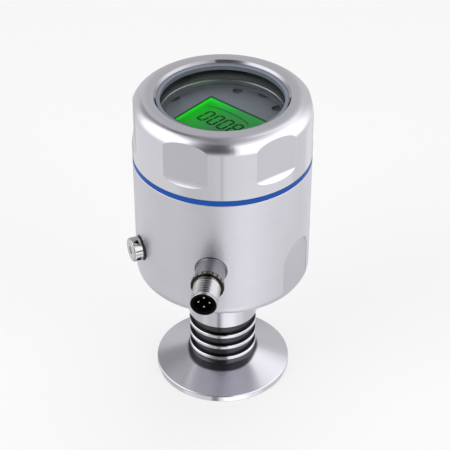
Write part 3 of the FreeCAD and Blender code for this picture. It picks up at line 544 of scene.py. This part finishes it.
class TRANSDUCER_OT_connector(bpy.types.Operator):
    """Cut the connector's barrel with a real thread"""
    bl_idname = "transducer.connector"
    bl_label = "Connector Thread"

    def execute(self, context):
        settings = context.scene.transducer_connector
        relief_length = 0.8 * MM
        ring_end = -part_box("connector_ring")[0].y
        thread_start, band_start = ring_end + relief_length, CONNECTOR_MOUTH - settings.lead
        bm = bmesh.new()
        self.turn_barrel(bm, settings.root, ring_end, thread_start, band_start)
        self.lay_thread(bm, settings, thread_start, band_start)
        bmesh.ops.transform(bm, matrix=seated(ALONG_CONNECTOR), verts=bm.verts)
        metal = turned_metal("bright_nickel_thread", (0.50, 0.50, 0.51), 0.16, ALONG_CONNECTOR, groove=0.2 * MM,
                             depth=1e-6, zones=lip_tone)
        barrel = mesh_object("connector_barrel", bm, "base", metal, smooth=math.radians(35))
        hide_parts("connector_shell")
        return {"FINISHED"}

    def turn_barrel(self, bm, core, ring_end, thread_start, band_start):
        """Barrel before its thread: spigot in the boss, collar in seal and ring, relief, core and plain band."""
        spigot, collar, relief, band, band_edge = mm(5.0, 6.0, 5.6, 5.9, 5.75)
        bore, mouth, mouth_edge = mm(4.5, 5.2, 5.28)
        mouth_depth, band_chamfer, mouth_chamfer = mm(10.5, 0.15, 0.08)
        start, end = CONNECTOR_START, CONNECTOR_MOUTH
        boss_end = -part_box("connector_seal")[1].y
        spun_profile(bm, [
            (bore, start), (spigot, start), (spigot, boss_end), (collar, boss_end), (collar, ring_end),
            (relief, ring_end), (relief, thread_start), (core, thread_start), (core, band_start),
            (band, band_start + band_chamfer), (band, end - band_chamfer), (band_edge, end), (mouth_edge, end),
            (mouth, end - mouth_chamfer), (mouth, end - mouth_depth), (bore, end - mouth_depth),
        ], steps=96)

    def lay_thread(self, bm, settings, thread_start, band_start):
        """The thread's ridge, with its foot sunk into the core, cut square at the relief and in the plain band."""
        sunk, run_in = mm(0.1, 0.1)
        foot_share, crest_share = 0.47, 0.09
        foot, crest, pitch = settings.root - sunk, settings.crest, settings.pitch
        first = thread_start - pitch
        turns = math.ceil((band_start - first) / pitch) + 1
        ridge = bmesh.new()
        section = ((foot, -foot_share), (crest, -crest_share), (crest, crest_share), (foot, foot_share))
        face = ridge.faces.new([ridge.verts.new((radius, 0.0, first + share * pitch)) for radius, share in section])
        bmesh.ops.spin(ridge, geom=[face, *face.verts, *face.edges], cent=(0, 0, 0), axis=(0, 0, 1),
                       dvec=(0, 0, pitch / settings.steps), angle=math.tau * turns, steps=turns * settings.steps)
        for level, cut_side in ((thread_start, -1.0), (band_start + run_in, 1.0)):
            bmesh.ops.bisect_plane(ridge, geom=[*ridge.verts, *ridge.edges, *ridge.faces], plane_co=(0, 0, level),
                                   plane_no=(0, 0, cut_side), clear_outer=True)
            bmesh.ops.holes_fill(ridge, edges=[edge for edge in ridge.edges if edge.is_boundary])
        carried = bpy.data.meshes.new("ridge")
        ridge.to_mesh(carried)
        ridge.free()
        bm.from_mesh(carried)
        bpy.data.meshes.remove(carried)


# The lit segments of each figure: a is the top bar, b to f run on clockwise, and g is the middle bar
SEGMENTS = {
    "0": "abcdef", "1": "bc", "2": "abged", "3": "abgcd", "4": "fgbc", "5": "afgcd",
    "6": "afgedc", "7": "abc", "8": "abcdefg", "9": "abcdfg",
}


def add_bar(bm, start, end, width):
    """Thin bar with pointed ends between two points of the screen, lying on it."""
    point_share = 0.3
    start, end = Vector(start), Vector(end)
    along, middle = end - start, (start + end) / 2
    made = bmesh.ops.create_cube(bm, size=2.0)["verts"]
    size = Matrix.Diagonal((along.length / 2, width / 2, INK_THICKNESS / 2, 1.0))
    bmesh.ops.transform(bm, matrix=size, verts=made)
    uprights = [edge for edge in bm.edges if edge.verts[0] in made and edge.verts[1] in made
                and abs(edge.verts[0].co.z - edge.verts[1].co.z) > INK_THICKNESS / 4]
    cut = bmesh.ops.bevel(bm, geom=uprights, offset=width * point_share, affect="EDGES", segments=1, profile=0.5,
                          material=-1)
    corners = {vert for face in cut["faces"] for vert in face.verts} | {vert for vert in made if vert.is_valid}
    place = (Matrix.Translation((middle.x, middle.y, SCREEN_TOP + INK_THICKNESS / 2))
             @ Matrix.Rotation(math.atan2(along.y, along.x), 4, "Z"))
    bmesh.ops.transform(bm, matrix=place, verts=list(corners))


class TRANSDUCER_OT_screen(bpy.types.Operator):
    """Lay the figures, the scale and the dark frame on the display's screen"""
    bl_idname = "transducer.screen"
    bl_label = "Display Figures"

    def execute(self, context):
        settings = context.scene.transducer_screen
        ink = moulded("screen_ink", settings.ink, 0.6, depth=1e-6, gloss=0.05)
        drawn = {
            "screen_digits": self.draw_digits(settings),
            "screen_scale": self.draw_scale(),
            "screen_frame": self.draw_frame(),
        }
        for name, bm in drawn.items():
            bmesh.ops.transform(bm, matrix=seated(ON_DISPLAY), verts=bm.verts)
            mesh_object(name, bm, "display", ink)
        return {"FINISHED"}

    def draw_digits(self, settings):
        """Seven-segment figures in a row."""
        bm = bmesh.new()
        row_x, row_y = mm(-0.2, -1.1)
        gap_share = 0.25
        half_w, half_h = settings.digit_width / 2, settings.digit_height / 2
        gap = settings.stroke * gap_share
        ends = {
            "a": ((-half_w + gap, half_h), (half_w - gap, half_h)),
            "b": ((half_w, half_h - gap), (half_w, gap)),
            "c": ((half_w, -gap), (half_w, -half_h + gap)),
            "d": ((-half_w + gap, -half_h), (half_w - gap, -half_h)),
            "e": ((-half_w, -gap), (-half_w, -half_h + gap)),
            "f": ((-half_w, half_h - gap), (-half_w, gap)),
            "g": ((-half_w + gap, 0.0), (half_w - gap, 0.0)),
        }
        lean = math.tan(settings.slant)
        middle = (len(settings.digits) - 1) / 2
        for place, digit in enumerate(settings.digits):
            centre = Vector(((place - middle) * settings.digit_pitch + row_x, row_y))
            for segment in SEGMENTS[digit]:
                start, end = (Vector((x + y * lean, y)) + centre for x, y in ends[segment])
                add_bar(bm, start, end, settings.stroke)
        return bm

    def draw_scale(self):
        """Thin arc over the figures, with five ticks on its inner side."""
        bm = bmesh.new()
        chord, rise, line = mm(23.5, 1.9, 0.34)
        top_x, top_y = mm(-1.6, 7.6)
        ticks = zip((-1.0, -0.5, 0.0, 0.5, 1.0), mm(0.9, 0.5, 0.9, 0.5, 0.9))
        radius = (chord * chord / 4 + rise * rise) / (2 * rise)
        half = math.asin(chord / 2 / radius)
        centre = Vector((top_x, top_y - radius, SCREEN_TOP))
        section = bmesh.ops.create_grid(bm, x_segments=1, y_segments=1, size=0.5)["verts"]
        to_end = (Matrix.Rotation(half, 4, "Z") @ Matrix.Translation((0, radius, INK_THICKNESS / 2))
                  @ Matrix.Rotation(math.pi / 2, 4, "Y") @ Matrix.Diagonal((INK_THICKNESS, line, 1.0, 1.0)))
        bmesh.ops.transform(bm, matrix=to_end, verts=section)
        bmesh.ops.spin(bm, geom=[*bm.verts, *bm.edges, *bm.faces], cent=(0, 0, 0), axis=(0, 0, 1), angle=-2 * half,
                       steps=24)
        bmesh.ops.translate(bm, vec=centre, verts=bm.verts)
        for place, length in ticks:
            out = Vector((math.sin(half * place), math.cos(half * place)))
            foot = out * radius + centre.xy
            add_bar(bm, foot, foot - out * length, line)
        return bm

    def draw_frame(self):
        """Dark line between the screen and its opening."""
        bm = bmesh.new()
        width, height, border, thickness = mm(35.0, 24.7, 0.35, 0.06)
        bmesh.ops.create_grid(bm, x_segments=1, y_segments=1, size=0.5)
        bmesh.ops.scale(bm, vec=(width, height, 1.0), verts=bm.verts)
        rim = bmesh.ops.inset_region(bm, faces=list(bm.faces), thickness=border, use_boundary=True,
                                     use_even_offset=True)["faces"]
        bmesh.ops.delete(bm, geom=[face for face in bm.faces if face not in rim], context="FACES")
        raised = bmesh.ops.extrude_face_region(bm, geom=list(bm.faces))["geom"]
        bmesh.ops.translate(bm, vec=(0, 0, thickness), verts=[part for part in raised
                                                              if isinstance(part, bmesh.types.BMVert)])
        bmesh.ops.translate(bm, vec=(0, 0, SCREEN_TOP), verts=bm.verts)
        return bm


class TRANSDUCER_OT_finishes(bpy.types.Operator):
    """Give every solid its finish"""
    bl_idname = "transducer.finishes"
    bl_label = "Finishes"

    def execute(self, context):
        settings = context.scene.transducer_finish
        steel, rough = settings.steel, settings.steel_rough
        # Below this level the display's face gets painted shade in its notches and recesses
        bezel_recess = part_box("display_bezel")[1].z - 2.4 * MM
        # Each finish has its name, its colour and its roughness, and then what sets it apart from its kind
        looks = {
            "process_body": turned_metal("turned_steel", steel, rough * 1.15, anisotropy=0.7, zones=neck_tone),
            "diaphragm": turned_metal("diaphragm_steel", steel, 0.2, groove=0.6 * MM),
            "housing": turned_metal("housing_steel", steel, rough * 2.5, waviness=10e-6, tint=0.1,
                                    zones=housing_tone, metal=0.85),
            "cover": turned_metal("cover_steel", steel, rough * 0.8, waviness=6e-6, tint=0.07, zones=cover_tone),
            "cover_gasket": moulded("blue_silicone", settings.gasket, 0.45, depth=3e-6, gloss=0.2),
            "window_seal": moulded("pale_silicone", settings.seal, 0.5),
            "glass_gasket": moulded("gasket_rubber", (0.05, 0.052, 0.056), 0.2, depth=3e-6),
            "window_glass": window_pane("window_glass", (0.006, 0.02, 0.015, 1.0)),
            "glass_retainer": turned_metal("retainer_steel", (0.36, 0.355, 0.37), 0.33, groove=0.8 * MM,
                                           depth=60e-6),
            "display_bezel": moulded("grey_plastic", settings.bezel, 0.5, sunk=bezel_recess),
            "lcd_panel": lit_screen("lcd_green", context.scene.transducer_screen),
            "connector_insert": moulded("insert_plastic", (0.0012, 0.0012, 0.0015), 0.3, gloss=0.05),
            "connector_ring": turned_metal("dark_nickel", (0.15, 0.135, 0.11), 0.22, ALONG_CONNECTOR, tint=0.3,
                                           zones=ring_tone),
            "connector_pins": plated_metal("pin_plate", (0.66, 0.63, 0.56), 0.16),
            "header_pins": plated_metal("gold_plate", (0.86, 0.72, 0.48), 0.14),
            "board_pillars": plated_metal("brass_pillar", (0.72, 0.52, 0.25), 0.25),
            "sensor_header": turned_metal("header_steel", steel, 0.25),
            "sensor_die": moulded("silicon", (0.10, 0.10, 0.13), 0.2, depth=0.5e-6),
            "capacitors": moulded("capacitor_can", (0.03, 0.035, 0.06), 0.35),
            "terminal_strip": moulded("terminal_plastic", (0.03, 0.20, 0.06), 0.4),
        }
        shared = (
            (moulded("black_rubber", (0.016, 0.016, 0.017), 0.55, depth=10e-6),
             ("header_seal", "neck_seal", "connector_seal", "vent_seal")),
            (circuit_board("green_board", (0.008, 0.075, 0.03, 1.0), (0.02, 0.15, 0.06, 1.0)),
             ("sensor_board", "display_board", "main_board", "power_board")),
            (moulded("chip_plastic", (0.018, 0.018, 0.02), 0.5), ("display_chips", "signal_chips")),
            (moulded("black_plastic", (0.012, 0.012, 0.013), 0.3), ("display_cup", "board_link")),
            (moulded("white_plastic", (0.75, 0.76, 0.74), 0.45, soft=0.1), ("lcd_backlight", "vent_membrane")),
            (plated_metal("zinc_steel", (0.55, 0.56, 0.58), 0.3),
             ("display_screws", "cup_screws", "neck_nut", "sensor_ring")),
            (turned_metal("bright_nickel", (0.55, 0.545, 0.55), 0.12, ALONG_VENT),
             ("vent_body", "vent_cap", "vent_nut", "connector_shell")),
        )
        for material, names in shared:
            looks.update({name: material for name in names})
        missing = sorted(set(NODES) - set(looks))
        if missing:
            raise RuntimeError("no finish for " + ", ".join(missing))
        for name, material in looks.items():
            for held in NODES[name].material_slots:
                held.material = material
        return {"FINISHED"}


# The surroundings that polished metal mirrors are layers of soft areas. Each area has how much it brightens its
# layer, or darkens it where less than 0, and its slopes: off at the first number and full at the second. "round"
# is the way round from the camera's side towards its right, in radians, "behind" is the same without its sign,
# and "up" is the sine of the height above the horizon.
CLOSE_BY = ("up", -0.6, -0.66)
FLOOR_LEVEL, SKY_LEVEL, HORIZON = 0.83, 0.66, (-0.3, -0.1)
FLOOR_AREAS = {
    "right half": (0.07, ("round", 0.0, 0.8)),
    "dip in front": (-0.15, ("round", -1.2, -0.7), ("round", 0.3, -0.5)),
    "seam in front": (-0.25, ("round", -0.05, -0.02), ("round", 0.02, 0.0)),
    "patch at the right": (-0.12, ("round", 1.7, 1.8), ("round", 2.35, 2.25)),
    "back": (-0.3, ("behind", 2.5, 3.0)),
    "bright front": (0.2, ("round", -0.5, 0.0), ("round", 1.1, 0.6), CLOSE_BY),
    "line in front": (-0.8, ("round", -0.38, -0.28), ("round", -0.08, -0.16), CLOSE_BY),
    "strip beside the line": (0.4, ("round", -0.06, 0.04), ("round", 1.0, 0.5), CLOSE_BY),
    "left post": (-0.35, ("round", -1.1, -1.4), ("round", -2.5, -2.2), CLOSE_BY),
    "right post": (-0.35, ("round", 1.15, 1.4), ("round", 2.0, 1.7), CLOSE_BY),
    "beyond the right post": (-0.1925, ("round", 1.7, 2.1), CLOSE_BY),
}
SKY_AREAS = {
    "ceiling": (-0.33, ("up", 0.72, 0.92)),
    "ceiling overhead": (-0.1, ("up", 0.955, 0.99)),
    "ceiling over the back": (-0.1, ("behind", 2.9, 3.05), ("up", 0.93, 0.98)),
    "back wall": (-0.12, ("behind", 2.8, 3.05), ("up", 0.85, 0.7)),
    "high at the right": (0.25, ("round", 0.3, 0.9), ("round", 3.1, 2.8), ("up", 0.75, 0.88)),
    "bright behind at the right": (0.5, ("round", 2.1, 2.35), ("round", 2.72, 2.58), ("up", 0.45, 0.65),
                                   ("up", 0.98, 0.92)),
    "shade behind at the left": (-0.32, ("round", -2.1, -2.35), ("round", -2.8, -2.6), ("up", 0.38, 0.5),
                                 ("up", 0.97, 0.87)),
}
SCREEN_AREAS = {
    "left screen": (1.3, ("round", -0.65, -1.15), ("round", -2.4, -1.75), ("up", -0.3, 0.5), ("up", 1.0, 0.78)),
    "right screen": (1.0, ("round", 0.2, 0.36), ("round", 2.55, 1.8), ("up", -0.45, -0.05), ("up", 1.0, 0.65)),
}
# What lies behind the camera takes away a share of everything
DARK_AREAS = {
    "behind the camera": (-0.85, ("round", -0.95, -0.25), ("round", 0.34, 0.22), ("up", -0.36, 0.25),
                          ("up", 0.97, 0.8)),
}


def studio_light(shader, bearing):
    """What polished metal sees: a pale floor and sky, bright screens at both sides, and dark behind the camera."""
    direction = shader.node("ShaderNodeTexCoord", output="Generated")
    side, back, up = shader.parts(shader.mapped(direction, (0.0, 0.0, 0.0), (0.0, 0.0, bearing)))
    azimuth = shader.math("ARCTAN2", side, back * -1.0)
    ways = {"round": azimuth, "behind": shader.math("ABSOLUTE", azimuth), "up": up}

    def lit(level, areas):
        """A level with what some areas add to it."""
        for amount, *slopes in areas.values():
            level = math.prod(shader.rise(ways[way], off, full) for way, off, full in slopes) * amount + level
        return level

    above = shader.rise(up, *HORIZON)
    level = lit(FLOOR_LEVEL, FLOOR_AREAS) * (1.0 - above) + lit(SKY_LEVEL, SKY_AREAS) * above
    return lit(level, SCREEN_AREAS) * lit(1.0, DARK_AREAS)


class TRANSDUCER_OT_stage(bpy.types.Operator):
    """Set the camera, the lamps, the floor and the surroundings"""
    bl_idname = "transducer.stage"
    bl_label = "Stage"

    def execute(self, context):
        settings = context.scene.transducer_stage
        self.set_camera(context.scene, settings)
        self.set_lamps(context.scene)
        self.set_floor(context.scene, settings)
        self.set_world(context.scene, settings)
        context.scene.view_settings.view_transform = "Standard"
        return {"FINISHED"}

    def set_camera(self, scene, settings):
        """Camera at the photograph's viewing angle and size."""
        camera = bpy.data.cameras.new("camera")
        camera.lens = settings.lens
        camera.sensor_width = 36.0
        camera.clip_start = 0.01
        camera.clip_end = 50.0
        stand = bpy.data.objects.new("camera", camera)
        scene.collection.objects.link(stand)
        turn, rise = settings.bearing, settings.elevation
        away = Vector((math.sin(turn) * math.cos(rise), -math.cos(turn) * math.cos(rise), math.sin(rise)))
        right = Vector((math.cos(turn), math.sin(turn), 0.0))
        aim = Vector((0.0, 0.0, settings.aim_height)) + right * settings.aim_side
        stand.location = aim + away * settings.distance
        stand.rotation_euler = away.to_track_quat("Z", "Y").to_euler()
        scene.camera = stand

    def set_lamps(self, scene):
        """Soft boxes, left out of the metal's reflections, which the surroundings give."""
        target = Vector((0.0, 0.0, 80 * MM))
        for name, place, size, power in (
            ("lamp_left", (-0.7, -0.6, 0.9), 0.7, 9.0),
            ("lamp_right", (0.9, -0.5, 0.7), 0.6, 6.0),
            ("lamp_top", (0.1, 0.3, 1.2), 0.8, 8.0),
        ):
            lamp = bpy.data.lights.new(name, "AREA")
            lamp.shape = "SQUARE"
            lamp.size = size
            lamp.energy = power
            stand = bpy.data.objects.new(name, lamp)
            scene.collection.objects.link(stand)
            stand.location = place
            stand.rotation_euler = (Vector(place) - target).to_track_quat("Z", "Y").to_euler()
            stand.visible_glossy = False

    def set_floor(self, scene, settings):
        """Pale paper just under the object: it holds the shadow, and fades out well before its edge."""
        half_size, drop, fade = 6.0, 0.2 * MM, (0.45, 1.4)
        paper, glow_share, plain_share = 0.8, 0.97, 0.8
        bm = bmesh.new()
        bmesh.ops.create_grid(bm, x_segments=1, y_segments=1, size=half_size)
        bmesh.ops.translate(bm, vec=(0, 0, -drop), verts=bm.verts)
        mesh = bpy.data.meshes.new("floor")
        bm.to_mesh(mesh)
        bm.free()
        material, shader = finish("floor_paper")
        matt = shader.node("ShaderNodeBsdfDiffuse", inputs={"Color": grey(paper)})
        glow = shader.node("ShaderNodeEmission", inputs={"Color": grey(settings.backdrop * glow_share),
                                                         "Strength": 1.0})
        clear = shader.node("ShaderNodeBsdfTransparent")
        mirrored = shader.math("MAXIMUM", shader.ray("Glossy"), shader.ray("Transmission"))
        plain = shader.math("MAXIMUM", shader.ray("Camera"), mirrored)
        far = shader.rise(polar(shader, UPRIGHT)[0], *fade)
        unseen = shader.math("MAXIMUM", shader.node("ShaderNodeNewGeometry", output="Backfacing"), far)
        shader.show(shader.blend(unseen, shader.blend(plain * plain_share, matt, glow), clear))
        mesh.materials.append(material)
        floor = bpy.data.objects.new("floor", mesh)
        scene.collection.objects.link(floor)
        floor.visible_glossy = False

    def set_world(self, scene, settings):
        """A plain backdrop for the camera, the studio for mirrors, and soft even light for the rest."""
        soft_light = 0.55
        world = bpy.data.worlds.new("studio")
        world.use_nodes = True
        scene.world = world
        shader = Shader(world.node_tree)
        studio, soft, plain = (
            shader.node("ShaderNodeBackground", inputs={"Color": grey(level), "Strength": strength})
            for level, strength in ((1.0, studio_light(shader, settings.bearing)), (1.0, soft_light),
                                    (settings.backdrop, 1.0))
        )
        lit = shader.blend(shader.ray("Glossy"), soft, studio)
        seen = shader.math("MAXIMUM", shader.ray("Camera"), shader.ray("Transmission"))
        shader.show(shader.blend(seen, lit, plain), "ShaderNodeOutputWorld")


class TRANSDUCER_PT_panel(bpy.types.Panel):
    """Lists the steps and their settings"""
    bl_idname = "TRANSDUCER_PT_panel"
    bl_label = "Pressure Transducer"
    bl_space_type = "VIEW_3D"
    bl_region_type = "UI"
    bl_category = "Transducer"

    def draw(self, context):
        for step, scene_name, _ in STEPS:
            box = self.layout.box()
            box.operator(step.bl_idname)
            settings = getattr(context.scene, scene_name)
            for name in settings.bl_rna.properties.keys():
                if name not in ("rna_type", "name"):
                    box.prop(settings, name)


# Each step's operator, and its settings with their name on the scene, in the order in which main runs them
STEPS = (
    (TRANSDUCER_OT_stage, "transducer_stage", StageSettings),
    (TRANSDUCER_OT_finishes, "transducer_finish", FinishSettings),
    (TRANSDUCER_OT_connector, "transducer_connector", ConnectorSettings),
    (TRANSDUCER_OT_screen, "transducer_screen", ScreenSettings),
)


def register():
    """Adds the settings, the steps and the panel to Blender."""
    for step, scene_name, group in STEPS:
        bpy.utils.register_class(group)
        setattr(bpy.types.Scene, scene_name, PointerProperty(type=group))
        bpy.utils.register_class(step)
    bpy.utils.register_class(TRANSDUCER_PT_panel)


def unregister():
    """Takes the panel, the steps and the settings out again."""
    bpy.utils.unregister_class(TRANSDUCER_PT_panel)
    for step, scene_name, group in reversed(STEPS):
        bpy.utils.unregister_class(step)
        delattr(bpy.types.Scene, scene_name)
        bpy.utils.unregister_class(group)


def main():
    """Runs every step."""
    register()
    bpy.ops.transducer.stage()
    bpy.ops.transducer.finishes()
    bpy.ops.transducer.connector()
    bpy.ops.transducer.screen()


if __name__ == "__main__":
    main()
